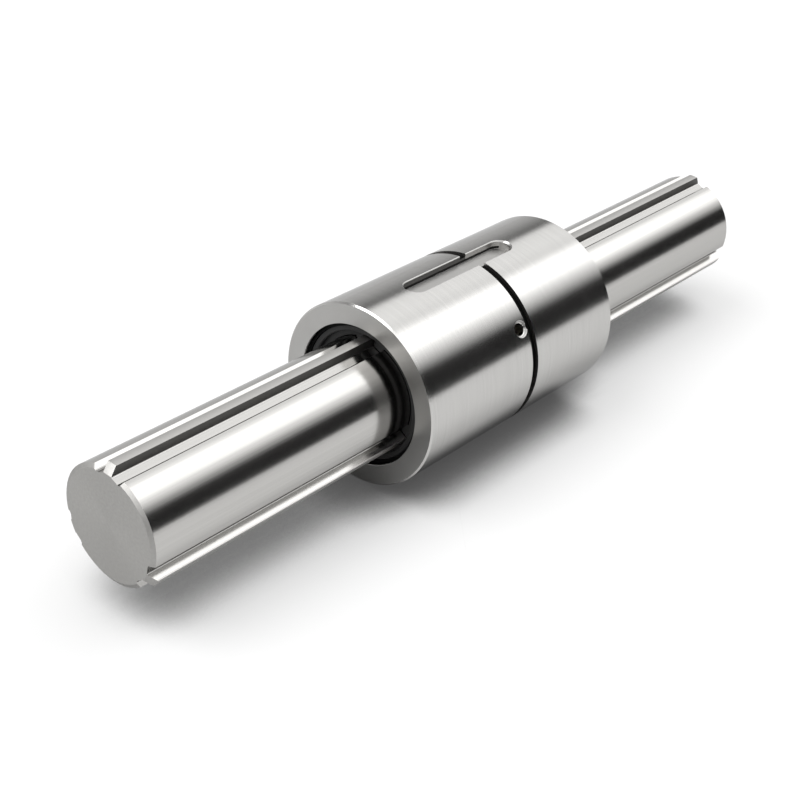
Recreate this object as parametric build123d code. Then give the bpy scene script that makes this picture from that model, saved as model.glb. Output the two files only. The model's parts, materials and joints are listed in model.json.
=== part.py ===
from build123d import *
import math
import os

# Ball spline shaft with its nut. Millimetres, +Z up.
# X runs along the shaft. The origin is the middle of the nut, on the shaft axis.
# Angles round the axis start at +Y and pass +Z at 90 degrees.

# Shaft
shaft_length = 384.0
land_radius = 24.2
crest_radius = 26.3
crest_count = 3
first_crest_angle = 90.0
crest_half_width = 2.1
flank_foot_height = 22.2
track_low_height = 20.9
track_low_start = 5.2
track_low_width = 1.2
track_outer_edge = 7.8
track_foot_radius = 0.5
track_corner_radius = 0.6
end_face_radius = 22.5
end_chamfer_angle = 30.0

# Balls and their circuits
ball_radius = 2.778
ball_track_clearance = 0.05
least_ball_pitch = 6.3
return_row_radius = 27.85
return_row_angle = 30.0
channel_clearance = 0.12
ramp_lead = 1.0
ramp_length = 5.5
ramp_bend_radius = 4.0
ramp_top_radius = 27.3

# Nut
nut_radius = 40.0
nut_length = 125.0
nut_edge_chamfer = 0.7
bore_radius = 30.7
bore_mouth_chamfer = 0.3
rail_inner_radius = 26.0
rail_crest_clearance = 0.6
rail_half_angle = 21.0
keyway_width = 10.0
keyway_length = 66.0
keyway_depth = 4.0
keyway_middle = -3.4
keyway_edge_chamfer = 0.4
oil_groove_width = 3.8
oil_groove_depth = 1.6
oil_groove_middle = 5.5
oil_hole_radius = 2.75
oil_hole_mouth_radius = 3.9
oil_hole_angle = 146.0

# Retainer segments and return caps
retainer_bore_clearance = 0.1
retainer_shaft_clearance = 0.3
retainer_rail_clearance = 0.3
retainer_end_clearance = 0.1
lip_reach_angle = 13.0
lip_rail_clearance = 0.3
oil_port_radius = 2.0
oil_pocket_half_angle = 11.0
oil_pocket_depth = 1.2
oil_pocket_length = 40.0
cap_length = 15.8
cap_end_clearance = 0.1

# Side rings and snap rings
side_ring_length = 4.0
side_ring_bore_clearance = 0.1
side_ring_shaft_clearance = 0.6
side_ring_chamfer = 0.4
snap_ring_thickness = 2.0
snap_ring_side_clearance = 0.1
snap_groove_depth = 1.5
snap_ring_depth = 2.6
snap_ring_gap = 7.0
snap_ring_lug_reach = 1.4
snap_ring_lug_half_angle = 5.0
snap_ring_eye_radius = 0.8
seal_gap = 0.6

# End seals
seal_recess = 2.2
seal_length = 8.6
seal_case_wall = 1.1
seal_case_clearance = 0.02
seal_case_flange = 1.2
seal_case_flange_bore = 27.4
seal_body_clearance = 0.05
seal_face_step = 0.3
seal_face_bore = 27.0
seal_lip_clearance = 0.3
seal_lip_thickness = 2.0
seal_lip_root = 2.6
seal_edge_bevel = 0.4

# Sizes that follow from the ones above
crest_step = 360.0 / crest_count
crest_angles = [first_crest_angle + crest_step * number for number in range(crest_count)]
ball_seat = ball_radius + ball_track_clearance
ball_side = crest_half_width + ball_seat
floor_run = track_low_start - crest_half_width
floor_slope = math.hypot(floor_run, flank_foot_height - track_low_height)
floor_drop = (flank_foot_height - track_low_height) / floor_slope
ball_height = flank_foot_height + ball_seat * (1 - floor_drop) * floor_slope / floor_run
loaded_row_radius = math.hypot(ball_side, ball_height)
loaded_row_angle = math.degrees(math.atan2(ball_side, ball_height))
channel_radius = ball_radius + channel_clearance
retainer_radius = bore_radius - retainer_bore_clearance
retainer_bore = land_radius + retainer_shaft_clearance
keyway_bottom_radius = nut_radius - keyway_depth
nut_half = nut_length / 2
seal_end = nut_half - seal_recess
seal_start = seal_end - seal_length
snap_ring_end = seal_start - seal_gap
snap_ring_start = snap_ring_end - snap_ring_thickness
side_ring_end = snap_ring_start - snap_ring_side_clearance
side_ring_start = side_ring_end - side_ring_length
cap_end = side_ring_start - cap_end_clearance
cap_start = cap_end - cap_length
loaded_half = cap_start - retainer_end_clearance

os.makedirs("parts", exist_ok=True)


def across(station):
    """The plane square to the shaft at this place along X, with +Y right and +Z up."""
    return Plane(origin=(station, 0, 0), x_dir=(0, 1, 0), z_dir=(1, 0, 0))


def along(section, start, end):
    """The solid of a cross-section drawn round the axis, from one station to another."""
    return extrude(across(start) * section, amount=end - start, dir=(1, 0, 0))


def turned(outline):
    """The solid of revolution of (station, radius) points about the shaft axis."""
    return revolve(Plane.XZ * make_face(Polyline(outline, close=True)), Axis.X, 360)


def polar(radius, angle):
    """A point of the cross-section at this radius and angle."""
    return (radius * math.cos(math.radians(angle)), radius * math.sin(math.radians(angle)))


def sector(inner, outer, start_angle, end_angle):
    """A piece of a ring between two radii and two angles."""
    middle_angle = (start_angle + end_angle) / 2
    return make_face([
        Line(polar(inner, start_angle), polar(outer, start_angle)),
        ThreePointArc(polar(outer, start_angle), polar(outer, middle_angle), polar(outer, end_angle)),
        Line(polar(outer, end_angle), polar(inner, end_angle)),
        ThreePointArc(polar(inner, end_angle), polar(inner, middle_angle), polar(inner, start_angle)),
    ])


def ring(inner, outer):
    """A plain ring."""
    return Circle(outer) - Circle(inner)


def at_crest(outline, crest_angle):
    """An outline drawn for a crest that points up, turned to one of the crests."""
    return Rot(0, 0, crest_angle - 90) * outline


def track_pocket(side, clearance):
    """The ball track beside a crest: upright flank, sloping floor, rising outer wall."""
    near = side * (crest_half_width + clearance)
    low_start = side * track_low_start
    low_end = side * (track_low_start + track_low_width - clearance)
    foot = flank_foot_height + clearance
    low = track_low_height + clearance
    edge_height = math.sqrt(land_radius ** 2 - track_outer_edge ** 2)
    edge = track_outer_edge - clearance
    rise = (edge_height - track_low_height) / (track_outer_edge - track_low_start - track_low_width)
    beyond = side * (edge + 2 * (crest_radius - edge_height) / rise)
    pocket = make_face(Polyline(
        (near, foot), (low_start, low), (low_end, low),
        (side * edge, edge_height + clearance), (beyond, 2 * crest_radius - edge_height + clearance),
        (beyond, 2 * crest_radius), (near, 2 * crest_radius), close=True,
    ))
    foot_corner = pocket.vertices().sort_by_distance((near, foot, 0))[0]
    pocket = fillet(foot_corner, track_foot_radius)
    low_corners = pocket.vertices().sort_by_distance(((low_start + low_end) / 2, low, 0))[0:2]
    return fillet(low_corners, track_corner_radius)


def shaft_section(clearance):
    """The spline: three crests with a ball track on each side. A clearance grows it."""
    section = Circle(land_radius + clearance)
    for angle in crest_angles:
        blank = Pos(0, crest_radius / 2) * Rectangle(2 * track_outer_edge, crest_radius)
        crest = (blank & Circle(crest_radius)) if clearance == 0 else crest_outline(clearance)
        section += at_crest(crest, angle)
    for angle in crest_angles:
        for side in (-1, 1):
            section -= at_crest(track_pocket(side, clearance), angle)
    return section


def crest_outline(clearance):
    """One crest alone, grown on both flanks and on top."""
    height = crest_radius + clearance
    blank = Pos(0, height / 2) * Rectangle(2 * (crest_half_width + clearance), height)
    return blank & Circle(height)


def ball_rows():
    """The (crest angle, side) of the six ball circuits."""
    return [(angle, side) for angle in crest_angles for side in (-1, 1)]


def loaded_point(crest_angle, side):
    """Where a loaded row crosses the cross-section."""
    return polar(loaded_row_radius, crest_angle + side * loaded_row_angle)


def return_point(crest_angle, side):
    """Where a return row crosses the cross-section."""
    return polar(return_row_radius, crest_angle + side * return_row_angle)


def disc_at(point, radius):
    """A round hole of the cross-section."""
    return Pos(point[0], point[1]) * Circle(radius)


def spline_shaft():
    """The whole bar, with one turned chamfer over lands and crests at each end."""
    half = shaft_length / 2
    bar = along(shaft_section(0), -half, half)
    reach = 2 * (crest_radius - end_face_radius)
    back = reach * math.tan(math.radians(end_chamfer_angle))
    for end in (-1, 1):
        tip = end * half
        bar -= turned([
            (tip, end_face_radius), (tip, end_face_radius + reach), (tip - end * back, end_face_radius + reach),
        ])
    return bar


def nut_bore_section():
    """The bore with its six raceways, two in each inward rail with a slot for the crest between."""
    bore = Circle(bore_radius)
    for angle in crest_angles:
        bore -= sector(rail_inner_radius, 2 * bore_radius, angle - rail_half_angle, angle + rail_half_angle)
        bore += at_crest(crest_outline(rail_crest_clearance), angle)
    for angle, side in ball_rows():
        bore += disc_at(loaded_point(angle, side), ball_seat)
    return bore


def keyway():
    """The round-ended keyway in the top of the nut, with its edge chamfer."""
    slot = SlotOverall(keyway_length, keyway_width)
    cut = extrude(Pos(keyway_middle, 0, keyway_bottom_radius) * slot, amount=2 * keyway_depth)
    edge_height = math.sqrt(nut_radius ** 2 - (keyway_width / 2) ** 2) - keyway_edge_chamfer
    flare = extrude(Pos(keyway_middle, 0, edge_height) * slot, amount=2 * keyway_depth, taper=-45)
    return cut + flare


def oil_hole():
    """The radial oil hole with its countersunk mouth."""
    mouth_depth = oil_hole_mouth_radius - oil_hole_radius
    hole = Cylinder(oil_hole_radius, 2 * (nut_radius - rail_inner_radius))
    mouth = Cone(oil_hole_radius, oil_hole_radius + 2 * mouth_depth, 2 * mouth_depth)
    return Rot(oil_hole_angle - 90, 0, 0) * Pos(0, 0, nut_radius) * (hole + mouth)


def nut_body():
    body = turned([
        (-nut_half, 0),
        (-nut_half, nut_radius - nut_edge_chamfer),
        (-nut_half + nut_edge_chamfer, nut_radius),
        (nut_half - nut_edge_chamfer, nut_radius),
        (nut_half, nut_radius - nut_edge_chamfer),
        (nut_half, 0),
    ])
    body -= along(nut_bore_section(), -nut_half, nut_half)
    groove_radius = bore_radius + snap_groove_depth
    for end in (-1, 1):
        body -= turned([
            (end * loaded_half, 0),
            (end * loaded_half, bore_radius),
            (end * (nut_half - bore_mouth_chamfer), bore_radius),
            (end * nut_half, bore_radius + bore_mouth_chamfer),
            (end * nut_half, 0),
        ])
        body -= turned([
            (end * side_ring_end, 0),
            (end * side_ring_end, groove_radius),
            (end * (snap_ring_end + snap_ring_side_clearance), groove_radius),
            (end * (snap_ring_end + snap_ring_side_clearance), 0),
        ])
    groove_start = oil_groove_middle - oil_groove_width / 2
    groove_end = oil_groove_middle + oil_groove_width / 2
    body -= along(ring(nut_radius - oil_groove_depth, 2 * nut_radius), groove_start, groove_end)
    body -= keyway()
    body -= oil_hole()
    return body


def retainer_segment(crest_angle):
    """The piece between two crests: it guides two return rows and holds two loaded rows."""
    next_crest = crest_angle + crest_step
    gap_angle = math.degrees(retainer_rail_clearance / rail_inner_radius)
    block = sector(
        retainer_bore, retainer_radius,
        crest_angle + rail_half_angle + gap_angle, next_crest - rail_half_angle - gap_angle,
    )
    lip_radius = rail_inner_radius - lip_rail_clearance
    block += sector(retainer_bore, lip_radius, crest_angle + lip_reach_angle, next_crest - lip_reach_angle)
    for angle, side in ((crest_angle, 1), (next_crest, -1)):
        block -= disc_at(loaded_point(angle, side), channel_radius)
        block -= disc_at(return_point(angle, side), channel_radius)
    segment = along(block, -loaded_half, loaded_half)
    middle = crest_angle + crest_step / 2
    pocket = sector(
        retainer_radius - oil_pocket_depth, 2 * retainer_radius,
        middle - oil_pocket_half_angle, middle + oil_pocket_half_angle,
    )
    segment -= along(pocket, -oil_pocket_length / 2, oil_pocket_length / 2)
    port = Pos(0, 0, retainer_radius) * Cylinder(oil_port_radius, 2 * retainer_radius - land_radius)
    segment -= Rot(middle - 90, 0, 0) * port
    return segment


def circuit_end(crest_angle, side, end):
    """One end of a circuit: up the ramp from the loaded row, then round the turn."""
    outward = Vector(0, *polar(1, crest_angle + side * loaded_row_angle))
    foot = loaded_half + ramp_lead
    turn_start = foot + ramp_length + ramp_lead
    flat_ramp = FilletPolyline(
        (end * loaded_half, loaded_row_radius), (end * foot, loaded_row_radius),
        (end * (foot + ramp_length), ramp_top_radius), (end * turn_start, ramp_top_radius),
        radius=ramp_bend_radius,
    )
    ramp = Plane(origin=(0, 0, 0), x_dir=(1, 0, 0), z_dir=Vector(1, 0, 0).cross(outward)) * flat_ramp
    top = Vector(end * turn_start, 0, 0) + outward * ramp_top_radius
    back = Vector(end * turn_start, *return_point(crest_angle, side))
    crown = (top + back) / 2 + Vector(end * (back - top).length / 2, 0, 0)
    return ramp.edges() + [ThreePointArc(top, crown, back).edge()]


def circuit_path(crest_angle, side):
    """The middle line of one endless ball circuit: two straight rows, ramps and half-round turns."""
    runs = circuit_end(crest_angle, side, -1) + circuit_end(crest_angle, side, 1)
    turn_start = loaded_half + 2 * ramp_lead + ramp_length
    for half, point in ((loaded_half, loaded_point(crest_angle, side)), (turn_start, return_point(crest_angle, side))):
        runs.append(Line((-half, *point), (half, *point)).edge())
    return Wire(runs, sequenced=True)


def passages(crest_angle, side, end):
    """The round passages of a return cap for one circuit."""
    runs = circuit_end(crest_angle, side, end)
    back = runs[-1] @ 1
    runs.append(Line(back, (end * loaded_half, back.Y, back.Z)).edge())
    return [sweep(Plane(origin=run @ 0, z_dir=run % 0) * Circle(channel_radius), path=run) for run in runs]


def return_cap(end):
    """The end piece that closes the six circuits."""
    section = Circle(retainer_radius) - Circle(retainer_bore)
    for angle in crest_angles:
        section -= at_crest(crest_outline(retainer_shaft_clearance), angle)
    near, far = sorted((end * cap_start, end * cap_end))
    cap = along(section, near, far)
    for angle, side in ball_rows():
        cap -= Part() + passages(angle, side, end)
    return cap


def ball_circuit(crest_angle, side):
    """One endless row of balls, evenly spaced."""
    path = circuit_path(crest_angle, side)
    count = int(path.length / least_ball_pitch)
    places = [path @ ((number + 0.5) / count) for number in range(count)]
    balls = [Pos(place.X, place.Y, place.Z) * Sphere(ball_radius) for place in places]
    return Compound(children=balls)


def side_ring(end):
    """The steel ring behind the return cap."""
    inner = crest_radius + side_ring_shaft_clearance
    outer = bore_radius - side_ring_bore_clearance
    return turned([
        (end * side_ring_start, inner),
        (end * side_ring_start, outer - side_ring_chamfer),
        (end * (side_ring_start + side_ring_chamfer), outer),
        (end * (side_ring_end - side_ring_chamfer), outer),
        (end * side_ring_end, outer - side_ring_chamfer),
        (end * side_ring_end, inner),
    ])


def snap_ring(end):
    """The inside snap ring with its gap and two lugs."""
    outer = bore_radius + snap_groove_depth - snap_ring_side_clearance
    inner = outer - snap_ring_depth
    half_gap = math.degrees(snap_ring_gap / 2 / outer)
    low = 270.0
    lug_inner = inner - snap_ring_lug_reach
    section = sector(inner, outer, low + half_gap, low + 360 - half_gap)
    for side in (-1, 1):
        near, far = sorted((low + side * half_gap, low + side * (half_gap + 2 * snap_ring_lug_half_angle)))
        section += sector(lug_inner, outer, near, far)
        eye = polar(lug_inner + 2 * snap_ring_eye_radius, low + side * (half_gap + snap_ring_lug_half_angle))
        section -= disc_at(eye, snap_ring_eye_radius)
    near, far = sorted((end * snap_ring_start, end * snap_ring_end))
    return along(section, near, far)


def seal_case(end):
    """The pressed steel case of the end seal."""
    outer = bore_radius - seal_case_clearance
    return turned([
        (end * seal_start, seal_case_flange_bore),
        (end * seal_start, outer),
        (end * seal_end, outer),
        (end * seal_end, outer - seal_case_wall),
        (end * (seal_start + seal_case_flange), outer - seal_case_wall),
        (end * (seal_start + seal_case_flange), seal_case_flange_bore),
    ])


def seal_lip(end):
    """The rubber seal, whose lip follows the spline all round."""
    outer = bore_radius - seal_case_clearance - seal_case_wall - seal_body_clearance
    back = seal_start + seal_case_flange + seal_body_clearance
    face = seal_end - seal_face_step
    lip_face = face - seal_lip_root
    lip_back = lip_face - seal_lip_thickness
    core = land_radius / 2
    body = turned([
        (end * back, seal_case_flange_bore),
        (end * back, outer),
        (end * (face - seal_edge_bevel), outer),
        (end * face, outer - seal_edge_bevel),
        (end * face, seal_face_bore + seal_edge_bevel),
        (end * (face - seal_edge_bevel), seal_face_bore),
        (end * lip_face, seal_face_bore),
        (end * lip_face, core),
        (end * lip_back, core),
        (end * lip_back, crest_radius + seal_lip_clearance),
    ])
    return body - along(shaft_section(seal_lip_clearance), -nut_length, nut_length)


def save(shape, name):
    """Write one piece under its own name."""
    shape.label = name
    export_step(shape, "parts/" + name + ".step")


ends = {"front": -1, "rear": 1}

save(spline_shaft(), "spline_shaft")
save(nut_body(), "nut_body")
for number, angle in enumerate(crest_angles, 1):
    save(retainer_segment(angle), "retainer_segment_" + str(number))
for number, (angle, side) in enumerate(ball_rows(), 1):
    save(ball_circuit(angle, side), "ball_circuit_" + str(number))
for name, end in ends.items():
    save(return_cap(end), "return_cap_" + name)
    save(side_ring(end), "side_ring_" + name)
    save(snap_ring(end), "snap_ring_" + name)
    save(seal_case(end), "seal_case_" + name)
    save(seal_lip(end), "seal_lip_" + name)
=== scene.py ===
import json
import math
import bpy
import bmesh
from mathutils import Matrix, Vector


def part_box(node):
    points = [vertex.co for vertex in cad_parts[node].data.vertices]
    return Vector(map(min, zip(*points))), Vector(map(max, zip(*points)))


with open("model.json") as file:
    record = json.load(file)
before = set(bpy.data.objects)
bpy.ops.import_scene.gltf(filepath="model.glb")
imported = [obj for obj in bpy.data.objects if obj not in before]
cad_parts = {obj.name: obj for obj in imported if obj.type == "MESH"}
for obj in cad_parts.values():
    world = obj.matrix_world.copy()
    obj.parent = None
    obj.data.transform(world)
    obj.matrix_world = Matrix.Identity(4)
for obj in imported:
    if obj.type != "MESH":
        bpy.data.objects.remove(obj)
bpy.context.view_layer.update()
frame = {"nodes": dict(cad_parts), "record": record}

nodes = frame["nodes"]

# The nut and the shaft lie along X, with their middles on the origin. Sizes are in metres.
nutLow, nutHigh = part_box("nut_body")
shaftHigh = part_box("spline_shaft")[1]
nutRadius = nutHigh.y
nutHalf = nutHigh.x
shaftHalf = shaftHigh.x
floorHeight = nutLow.z


# Node helpers

def newTree(name):
    material = bpy.data.materials.new(name)
    material.use_nodes = True
    material.node_tree.nodes.clear()
    return material, material.node_tree


def addNode(tree, kind, **values):
    node = tree.nodes.new(kind)
    for key, value in values.items():
        setattr(node, key, value)
    return node


def mathNode(tree, operation, first, second=None, third=None, clamp=False):
    node = addNode(tree, "ShaderNodeMath", operation=operation, use_clamp=clamp)
    for index, value in enumerate((first, second, third)):
        if value is None:
            continue
        if hasattr(value, "links"):
            tree.links.new(value, node.inputs[index])
        else:
            node.inputs[index].default_value = value
    return node.outputs[0]


def rangeNode(tree, value, low, high, outLow=0.0, outHigh=1.0, smooth=True):
    node = addNode(tree, "ShaderNodeMapRange")
    node.interpolation_type = "SMOOTHSTEP" if smooth else "LINEAR"
    tree.links.new(value, node.inputs[0])
    for index, number in zip((1, 2, 3, 4), (low, high, outLow, outHigh)):
        if hasattr(number, "links"):
            tree.links.new(number, node.inputs[index])
        else:
            node.inputs[index].default_value = number
    return node.outputs[0]


def rampNode(tree, value, stops):
    node = addNode(tree, "ShaderNodeValToRGB")
    ramp = node.color_ramp
    ramp.elements[0].position, ramp.elements[0].color = stops[0][0], grey(stops[0][1])
    ramp.elements[1].position, ramp.elements[1].color = stops[-1][0], grey(stops[-1][1])
    for place, level in stops[1:-1]:
        ramp.elements.new(place).color = grey(level)
    tree.links.new(value, node.inputs[0])
    return node.outputs[0]


def grey(level):
    return (level, level, level, 1.0)


def mixColour(tree, share, first, second):
    node = addNode(tree, "ShaderNodeMix", data_type="RGBA")
    for index, value in ((0, share), (6, first), (7, second)):
        if hasattr(value, "links"):
            tree.links.new(value, node.inputs[index])
        else:
            node.inputs[index].default_value = value
    return node.outputs[2]


def mixVector(tree, share, first, second):
    node = addNode(tree, "ShaderNodeMix", data_type="VECTOR")
    tree.links.new(share, node.inputs[0])
    tree.links.new(first, node.inputs[4])
    tree.links.new(second, node.inputs[5])
    return node.outputs[1]


def newGroup(name, inputs, outputs):
    tree = bpy.data.node_groups.new(name, "ShaderNodeTree")
    for label, kind, value in inputs:
        socket = tree.interface.new_socket(name=label, in_out="INPUT", socket_type=kind)
        if value is not None:
            socket.default_value = value
    for label, kind in outputs:
        tree.interface.new_socket(name=label, in_out="OUTPUT", socket_type=kind)
    return tree, tree.nodes.new("NodeGroupInput"), tree.nodes.new("NodeGroupOutput")


def useGroup(tree, group, values):
    node = addNode(tree, "ShaderNodeGroup", node_tree=group)
    for label, value in values.items():
        if hasattr(value, "links"):
            tree.links.new(value, node.inputs[label])
        else:
            node.inputs[label].default_value = value
    return node


# Shared finishes, each one a group. The limits are for how far a facet faces away from the axis.

roundLimits = {
    "cylinder": 0.985,
    "slope": 0.45,
    "slopeSpread": 0.25,
    "slopeShare": 0.35,
    "wallStart": 0.24,
    "wallFull": 0.16,
    "wallLean": 0.4,
}


def makeTrueRound(limits):
    # Gives a ground cylinder about X its exact normal, so that its facets don't show.
    # A sloping side of a track is rounded a little towards the land beside it.
    # The second output is 1 on the upright walls of the keyway and of the crest on top, which get a painted
    # dark reflection.
    tree, source, sink = newGroup(
        "trueRound",
        [("Place", "NodeSocketVector", None), ("Facet", "NodeSocketVector", None),
         ("Least Radius", "NodeSocketFloat", 0.02)],
        [("Normal", "NodeSocketVector"), ("Wall", "NodeSocketFloat")],
    )
    flat = addNode(tree, "ShaderNodeVectorMath", operation="MULTIPLY")
    tree.links.new(source.outputs["Place"], flat.inputs[0])
    flat.inputs[1].default_value = (0, 1, 1)
    length = addNode(tree, "ShaderNodeVectorMath", operation="LENGTH")
    tree.links.new(flat.outputs[0], length.inputs[0])
    outward = addNode(tree, "ShaderNodeVectorMath", operation="NORMALIZE")
    tree.links.new(flat.outputs[0], outward.inputs[0])
    agree = addNode(tree, "ShaderNodeVectorMath", operation="DOT_PRODUCT")
    tree.links.new(outward.outputs[0], agree.inputs[0])
    tree.links.new(source.outputs["Facet"], agree.inputs[1])
    away = agree.outputs["Value"]
    along = mathNode(tree, "GREATER_THAN", away, limits["cylinder"])
    outside = mathNode(tree, "GREATER_THAN", length.outputs["Value"], source.outputs["Least Radius"])
    slope = mathNode(tree, "COMPARE", away, limits["slope"], limits["slopeSpread"])
    slope = mathNode(tree, "MULTIPLY", slope, limits["slopeShare"])
    share = mathNode(tree, "MULTIPLY_ADD", along, outside, slope)
    tree.links.new(mixVector(tree, share, source.outputs["Facet"], outward.outputs[0]), sink.inputs[0])
    steep = rangeNode(tree, away, limits["wallFull"], limits["wallStart"], 1.0, 0.0)
    split = addNode(tree, "ShaderNodeSeparateXYZ")
    tree.links.new(source.outputs["Facet"], split.inputs[0])
    upright = mathNode(tree, "LESS_THAN", mathNode(tree, "ABSOLUTE", split.outputs[2]), limits["wallLean"])
    tree.links.new(mathNode(tree, "MULTIPLY", steep, upright), sink.inputs[1])
    return tree


def makeRing():
    # 1 inside a ring about X: between two radii and two stations.
    tree, source, sink = newGroup(
        "ringZone",
        [("Place", "NodeSocketVector", None), ("Inner", "NodeSocketFloat", 0.0),
         ("Outer", "NodeSocketFloat", 1.0), ("Start", "NodeSocketFloat", -1.0),
         ("End", "NodeSocketFloat", 1.0)],
        [("Mask", "NodeSocketFloat")],
    )
    split = addNode(tree, "ShaderNodeSeparateXYZ")
    tree.links.new(source.outputs["Place"], split.inputs[0])
    squareY = mathNode(tree, "MULTIPLY", split.outputs[1], split.outputs[1])
    square = mathNode(tree, "MULTIPLY_ADD", split.outputs[2], split.outputs[2], squareY)
    radius = mathNode(tree, "SQRT", square)
    tests = [
        mathNode(tree, "GREATER_THAN", radius, source.outputs["Inner"]),
        mathNode(tree, "LESS_THAN", radius, source.outputs["Outer"]),
        mathNode(tree, "GREATER_THAN", split.outputs[0], source.outputs["Start"]),
        mathNode(tree, "LESS_THAN", split.outputs[0], source.outputs["End"]),
    ]
    mask = tests[0]
    for test in tests[1:]:
        mask = mathNode(tree, "MULTIPLY", mask, test)
    tree.links.new(mask, sink.inputs[0])
    return tree


noiseDetail = {"marks": 4.0, "film": 3.0}


def makeGrind(detail):
    # Fine marks with a slow cloud of oil film over them. They run round the shaft where
    # the count along it is the larger one, and along the shaft where the count across is.
    tree, source, sink = newGroup(
        "grindMarks",
        [("Place", "NodeSocketVector", None), ("Along", "NodeSocketFloat", 2500.0),
         ("Across", "NodeSocketFloat", 40.0), ("Film Scale", "NodeSocketFloat", 30.0)],
        [("Marks", "NodeSocketFloat"), ("Film", "NodeSocketFloat")],
    )
    split = addNode(tree, "ShaderNodeSeparateXYZ")
    tree.links.new(source.outputs["Place"], split.inputs[0])
    station = mathNode(tree, "MULTIPLY", split.outputs[0], source.outputs["Along"])
    sideY = mathNode(tree, "MULTIPLY", split.outputs[1], source.outputs["Across"])
    sideZ = mathNode(tree, "MULTIPLY", split.outputs[2], source.outputs["Across"])
    stretched = addNode(tree, "ShaderNodeCombineXYZ")
    for index, value in enumerate((station, sideY, sideZ)):
        tree.links.new(value, stretched.inputs[index])
    marks = addNode(tree, "ShaderNodeTexNoise")
    marks.inputs["Scale"].default_value = 1.0
    marks.inputs["Detail"].default_value = detail["marks"]
    tree.links.new(stretched.outputs[0], marks.inputs["Vector"])
    film = addNode(tree, "ShaderNodeTexNoise")
    film.inputs["Detail"].default_value = detail["film"]
    tree.links.new(source.outputs["Place"], film.inputs["Vector"])
    tree.links.new(source.outputs["Film Scale"], film.inputs["Scale"])
    tree.links.new(marks.outputs["Fac"], sink.inputs[0])
    tree.links.new(film.outputs["Fac"], sink.inputs[1])
    return tree


trueRound = makeTrueRound(roundLimits)
ringZone = makeRing()
grindMarks = makeGrind(noiseDetail)
faceLean = 0.8  # how squarely a face has to look along the shaft


def faceMask(tree, coordinates):
    # 1 where a face looks along the shaft, the shaft's end chamfers too.
    split = addNode(tree, "ShaderNodeSeparateXYZ")
    tree.links.new(coordinates.outputs["Normal"], split.inputs[0])
    return mathNode(tree, "GREATER_THAN", mathNode(tree, "ABSOLUTE", split.outputs[0]), faceLean)


def finishShader(tree, colour, roughness, normal, settings):
    shader = addNode(tree, "ShaderNodeBsdfPrincipled")
    shader.inputs["Metallic"].default_value = settings["metallic"]
    shader.inputs["Specular IOR Level"].default_value = settings.get("specular", 0.5)
    shader.inputs["Anisotropic"].default_value = settings.get("anisotropic", 0.0)
    shader.inputs["Specular Tint"].default_value = grey(settings.get("edgeTint", 1.0))
    tree.links.new(colour, shader.inputs["Base Color"])
    tree.links.new(roughness, shader.inputs["Roughness"])
    if normal is not None:
        tree.links.new(normal, shader.inputs["Normal"])
    if settings.get("anisotropic"):
        tangent = addNode(tree, "ShaderNodeTangent", direction_type="RADIAL", axis="X")
        tree.links.new(tangent.outputs[0], shader.inputs["Tangent"])
    output = addNode(tree, "ShaderNodeOutputMaterial")
    tree.links.new(shader.outputs[0], output.inputs[0])


# Ground steel of the nut and of the shaft

nutFinish = {
    "colour": 0.51,
    "faceColour": 0.37,
    # painted dark reflection colour for the upright walls
    "wallShadeColour": 0.16,
    "warm": 0.012,
    "roughness": 0.145,
    "faceRoughness": 0.34,
    "wallRoughness": 0.4,
    "marksAlong": 2500.0,
    "marksAcross": 40.0,
    "marks": 0.1,
    "film": 0.03,
    "bump": 0.00002,
    "metallic": 1.0,
    "anisotropic": 0.6,
    "edgeTint": 0.6,
    "leastRadius": nutRadius - 0.0003,
}
# Zones are rings about the shaft, from radius inner to outer and from station start to end.
keyway = {"floor": 0.0345, "floorTop": 0.03636, "start": -0.0375, "end": 0.0305}
nutZones = {
    "keyFloor": {"inner": keyway["floor"], "outer": keyway["floorTop"], "start": keyway["start"],
                 "end": keyway["end"], "colour": 0.5, "roughness": 0.42},
    "keyEdge": {"inner": 0.0392, "outer": nutRadius - 0.0001, "start": -0.039, "end": 0.032, "colour": 0.33,
                "roughness": 0.3},
    # the oil groove and the bore of the steel nut are painted nearly black, a painted shade for these
    # recesses
    "oilGrooveShade": {"inner": 0.0381, "outer": nutRadius - 0.00008, "start": 0.00355, "end": 0.00745,
                  "colour": 0.012, "roughness": 0.6},
    "boreShade": {"inner": 0.0, "outer": 0.0309, "start": 0.0001 - nutHalf, "end": nutHalf - 0.0001,
             "colour": 0.012, "roughness": 0.6},
}
nutWallShadeZones = {
    # behind the oil groove the keyway's wall keeps about the steel's own tone instead of the painted dark
    # reflection
    "keyWallRear": {"inner": 0.036, "outer": nutRadius, "start": 0.0074, "end": keyway["end"],
                    "colour": 0.52, "roughness": 0.3},
    # painted shade: a near-black line along the foot of the keyway's wall
    "keyCornerShade": {"inner": keyway["floorTop"], "outer": 0.0375, "start": keyway["start"],
                  "end": keyway["end"], "colour": 0.03, "roughness": 0.5},
}

shaftFinish = {
    "colour": 0.48,
    "faceColour": 0.36,
    # painted dark reflection colour for the top crest's upright flanks
    "wallShadeColour": 0.12,
    "warm": 0.015,
    "roughness": 0.165,
    "faceRoughness": 0.45,
    "wallRoughness": 0.45,
    "marksAlong": 5.0,
    "marksAcross": 900.0,
    "marks": 0.09,
    "film": 0.03,
    "bump": 0.00001,
    "metallic": 1.0,
    "anisotropic": 0.4,
    "edgeTint": 0.6,
    "leastRadius": 0.0239,
}
shaftZones = {
    "crestTop": {"inner": 0.0258, "outer": 0.03, "start": 0.0015 - shaftHalf, "end": shaftHalf - 0.0015,
                 "colour": 0.51, "roughness": 0.38},
}


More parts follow.
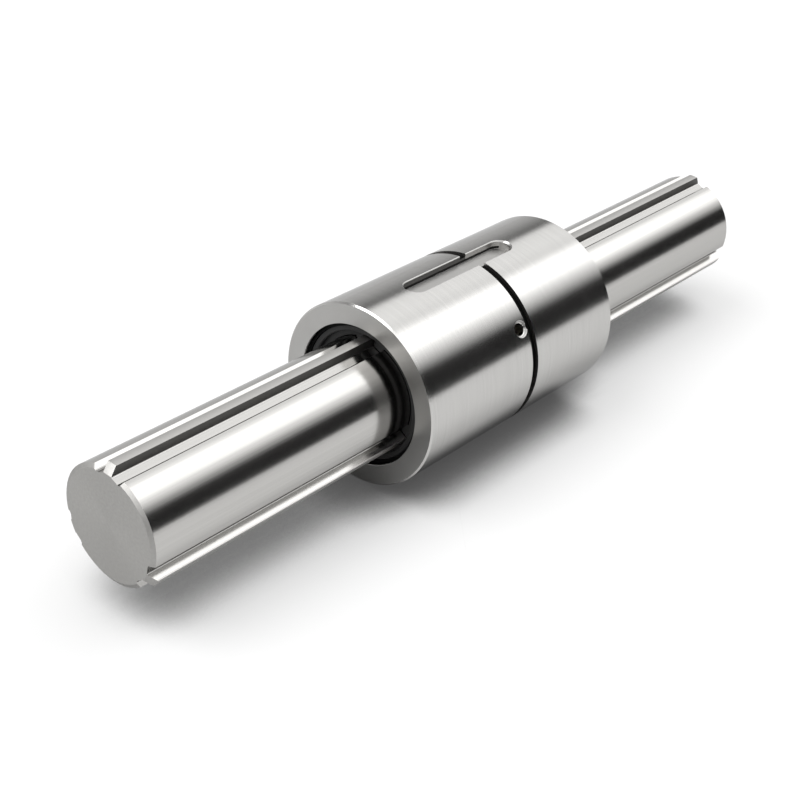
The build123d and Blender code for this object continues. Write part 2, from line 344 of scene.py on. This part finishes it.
def paintZones(tree, place, zones, tone, rough):
    for zone in zones.values():
        mask = useGroup(tree, ringZone, {
            "Place": place, "Inner": zone["inner"], "Outer": zone["outer"],
            "Start": zone["start"], "End": zone["end"],
        }).outputs[0]
        tone = rangeNode(tree, mask, 0.0, 1.0, tone, zone["colour"], smooth=False)
        rough = rangeNode(tree, mask, 0.0, 1.0, rough, zone["roughness"], smooth=False)
    return tone, rough


def groundSteel(name, finish, zones, wallShadeZones):
    material, tree = newTree(name)
    coordinates = addNode(tree, "ShaderNodeTexCoord")
    place = coordinates.outputs["Object"]
    grind = useGroup(tree, grindMarks, {
        "Place": place, "Along": finish["marksAlong"], "Across": finish["marksAcross"],
    })
    rounded = useGroup(tree, trueRound, {
        "Place": place, "Facet": coordinates.outputs["Normal"], "Least Radius": finish["leastRadius"],
    })
    wall = rounded.outputs["Wall"]  # painted dark reflection: the keyway's walls and the top crest's flanks are coloured darker
    face = faceMask(tree, coordinates)
    marks = mathNode(tree, "SUBTRACT", grind.outputs["Marks"], 0.5)
    film = mathNode(tree, "SUBTRACT", grind.outputs["Film"], 0.5)
    tone = mathNode(tree, "MULTIPLY_ADD", marks, finish["marks"], finish["colour"])
    faceTone = mathNode(tree, "MULTIPLY_ADD", marks, finish["marks"], finish["faceColour"])
    rough = mathNode(tree, "MULTIPLY_ADD", film, finish["film"] * 2, finish["roughness"])
    tone, rough = paintZones(tree, place, zones, tone, rough)
    # Upright walls take a painted dark reflection colour, with the wall zones laid over it.
    wallShadeTone, wallRough = paintZones(tree, place, wallShadeZones, finish["wallShadeColour"], finish["wallRoughness"])
    tone = rangeNode(tree, wall, 0.0, 1.0, tone, wallShadeTone, smooth=False)
    rough = rangeNode(tree, wall, 0.0, 1.0, rough, wallRough, smooth=False)
    tone = rangeNode(tree, face, 0.0, 1.0, tone, faceTone, smooth=False)
    rough = rangeNode(tree, face, 0.0, 1.0, rough, finish["faceRoughness"], smooth=False)
    tint = addNode(tree, "ShaderNodeCombineColor")
    for index, share in enumerate((1 + finish["warm"], 1.0, 1 - 2 * finish["warm"])):
        tree.links.new(mathNode(tree, "MULTIPLY", tone, share), tint.inputs[index])
    bump = addNode(tree, "ShaderNodeBump")
    bump.inputs["Distance"].default_value = finish["bump"]
    tree.links.new(grind.outputs["Marks"], bump.inputs["Height"])
    tree.links.new(rounded.outputs["Normal"], bump.inputs["Normal"])
    finishShader(tree, tint.outputs[0], rough, bump.outputs[0], finish)
    return material


# Plain finishes: black case, rubber, plastics, rings and balls

plainFinishes = {
    "retainer_plastic": {"colour": (0.70, 0.63, 0.48), "roughness": 0.45, "metallic": 0.0},
    "cap_plastic": {"colour": (0.05, 0.05, 0.05), "roughness": 0.5, "metallic": 0.0},
    "ring_steel": {"colour": (0.30, 0.30, 0.30), "roughness": 0.35, "metallic": 1.0},
    "spring_steel": {"colour": (0.08, 0.08, 0.08), "roughness": 0.4, "metallic": 1.0},
    "seal_case_steel": {"colour": (0.003, 0.003, 0.003), "roughness": 0.6, "metallic": 0.0,
                        "specular": 0.06},
    "seal_rubber": {"colour": (0.02, 0.02, 0.02), "roughness": 0.55, "metallic": 0.0, "specular": 0.25},
    "ball_steel": {"colour": (0.8, 0.8, 0.8), "roughness": 0.06, "metallic": 1.0},
}
plainFilm = {"scale": 300.0, "colourSpread": 0.15, "roughnessSpread": 0.05, "bump": 0.00003}


def plainFinish(name, finish, film):
    material, tree = newTree(name)
    coordinates = addNode(tree, "ShaderNodeTexCoord")
    place = coordinates.outputs["Object"]
    grind = useGroup(tree, grindMarks, {"Place": place, "Film Scale": film["scale"]})
    dark, light = (
        (*(part * (1 + spread) for part in finish["colour"]), 1.0)
        for spread in (-film["colourSpread"], film["colourSpread"])
    )
    colour = mixColour(tree, grind.outputs["Film"], dark, light)
    spread = film["roughnessSpread"]
    rough = mathNode(
        tree, "MULTIPLY_ADD", grind.outputs["Film"], 2 * spread, finish["roughness"] - spread,
    )
    bump = addNode(tree, "ShaderNodeBump")
    bump.inputs["Distance"].default_value = film["bump"]
    tree.links.new(grind.outputs["Film"], bump.inputs["Height"])
    finishShader(tree, colour, rough, bump.outputs[0], finish)
    return material


def dressNodes():
    finishes = {
        "nut_steel": groundSteel("nutSteel", nutFinish, nutZones, nutWallShadeZones),
        "shaft_steel": groundSteel("shaftSteel", shaftFinish, shaftZones, {}),
    }
    for slot, finish in plainFinishes.items():
        finishes[slot] = plainFinish(slot, finish, plainFilm)
    slots = {entry["node"]: entry["material_slot"] for entry in frame["record"]["subparts"]}
    for name, piece in nodes.items():
        piece.data.materials.clear()
        piece.data.materials.append(finishes[slots[name]])


dressNodes()
print("finishes on", len(nodes), "nodes")


# Camera, in the photograph's pose: the part is turned a little about its shaft there

cameraSettings = {
    "azimuth": -49.17,
    "elevation": 28.21,
    "distance": 0.6548,
    "lens": 67.64,
    "aimSide": -0.02404,
    "aimUp": -0.02465,
    "aimAlong": 0.001,
    "turn": -6.7,
    "sensor": 36.0,
    "nearest": 0.01,
    "farthest": 50.0,
}


def placeCamera(settings):
    azimuth = math.radians(settings["azimuth"])
    elevation = math.radians(settings["elevation"])
    level = math.cos(elevation)
    back = Vector((math.sin(azimuth) * level, -math.cos(azimuth) * level, math.sin(elevation)))
    right = Vector((math.cos(azimuth), math.sin(azimuth), 0))
    up = back.cross(right)
    aim = Vector((settings["aimAlong"], 0, 0)) + right * settings["aimSide"] + up * settings["aimUp"]
    place = aim + back * settings["distance"]
    pose = Matrix((right, up, back)).transposed().to_4x4()
    pose.translation = place
    data = bpy.data.cameras.new("camera")
    data.lens = settings["lens"]
    data.sensor_width = settings["sensor"]
    data.sensor_fit = "HORIZONTAL"
    data.clip_start = settings["nearest"]
    data.clip_end = settings["farthest"]
    camera = bpy.data.objects.new("camera", data)
    bpy.context.scene.collection.objects.link(camera)
    camera.matrix_world = Matrix.Rotation(math.radians(settings["turn"]), 4, "X") @ pose
    bpy.context.scene.camera = camera


placeCamera(cameraSettings)
print("camera placed")


# Studio: a pale floor, a sky of bands about the shaft and one soft key light. A sky stop is an
# angle about X, 0 behind the part, 90 overhead and 180 in front of it, and its level.

studio = {
    "floorSize": 60.0,
    "floorColour": 0.44,
    "floorLift": 0.33,
    # the contact values set a painted contact shadow in the floor's colour and lift
    "contactReach": 0.03,
    "contactStart": 0.32,
    "contactEnd": 0.85,
    "contactDark": 0.2,
    "keyStrength": 1.6,
    "keySoftness": 40.0,
    "keyTilt": (-24.0, -30.0),
    "skyStops": [
        (-180, 0.95), (5, 0.93), (16, 0.74), (30, 0.42), (40, 0.13), (48, 1.46), (73, 1.46), (86, 1.28),
        (91, 1.6), (96, 2.3), (118, 2.3), (125, 1.6), (136, 0.9), (143, 0.4), (149, 0.02), (180, 0.02),
    ],
}


def buildSky(settings):
    world = bpy.data.worlds.new("studio")
    bpy.context.scene.world = world
    world.use_nodes = True
    tree = world.node_tree
    tree.nodes.clear()
    coordinates = addNode(tree, "ShaderNodeTexCoord")
    split = addNode(tree, "ShaderNodeSeparateXYZ")
    tree.links.new(coordinates.outputs["Generated"], split.inputs[0])
    angle = mathNode(tree, "ARCTAN2", split.outputs[2], split.outputs[1])
    share = mathNode(tree, "MULTIPLY_ADD", angle, 0.5 / math.pi, 0.5)
    stops = [((degrees + 180) / 360, level) for degrees, level in settings["skyStops"]]
    sky = rampNode(tree, share, stops)
    background = addNode(tree, "ShaderNodeBackground")
    tree.links.new(sky, background.inputs[0])
    output = addNode(tree, "ShaderNodeOutputWorld")
    tree.links.new(background.outputs[0], output.inputs[0])


def buildFloor(settings):
    mesh = bpy.data.meshes.new("floor")
    shape = bmesh.new()
    bmesh.ops.create_grid(shape, x_segments=1, y_segments=1, size=settings["floorSize"] / 2)
    bmesh.ops.translate(shape, verts=shape.verts, vec=(0, 0, floorHeight))
    shape.to_mesh(mesh)
    shape.free()
    floor = bpy.data.objects.new("floor", mesh)
    bpy.context.scene.collection.objects.link(floor)
    material, tree = newTree("floorWhite")
    matte = addNode(tree, "ShaderNodeBsdfDiffuse")
    light = addNode(tree, "ShaderNodeLightPath")
    # Painted contact shadow: ambient occlusion darkens the floor's colour and its lift near the part.
    near = addNode(tree, "ShaderNodeAmbientOcclusion")
    near.inputs["Distance"].default_value = settings["contactReach"]
    contactShade = rangeNode(
        tree, near.outputs["AO"], settings["contactStart"], settings["contactEnd"],
        settings["contactDark"], 1.0,
    )
    tree.links.new(mathNode(tree, "MULTIPLY", contactShade, settings["floorColour"]), matte.inputs[0])
    seen = mathNode(tree, "ADD", light.outputs["Is Camera Ray"], light.outputs["Is Glossy Ray"])
    seen = mathNode(tree, "ADD", seen, light.outputs["Is Transmission Ray"], clamp=True)
    lift = addNode(tree, "ShaderNodeEmission")
    tree.links.new(mathNode(tree, "MULTIPLY", contactShade, settings["floorLift"]), lift.inputs[0])
    tree.links.new(seen, lift.inputs[1])
    both = addNode(tree, "ShaderNodeAddShader")
    tree.links.new(matte.outputs[0], both.inputs[0])
    tree.links.new(lift.outputs[0], both.inputs[1])
    output = addNode(tree, "ShaderNodeOutputMaterial")
    tree.links.new(both.outputs[0], output.inputs[0])
    mesh.materials.append(material)


def addKey(settings):
    data = bpy.data.lights.new("key", "SUN")
    data.energy = settings["keyStrength"]
    data.angle = math.radians(settings["keySoftness"])
    data.specular_factor = 0.0
    key = bpy.data.objects.new("key", data)
    bpy.context.scene.collection.objects.link(key)
    key.rotation_euler = [math.radians(part) for part in (*settings["keyTilt"], 0)]


buildSky(studio)
buildFloor(studio)
addKey(studio)
print("studio built")
bpy.context.scene.view_settings.view_transform = "Standard"
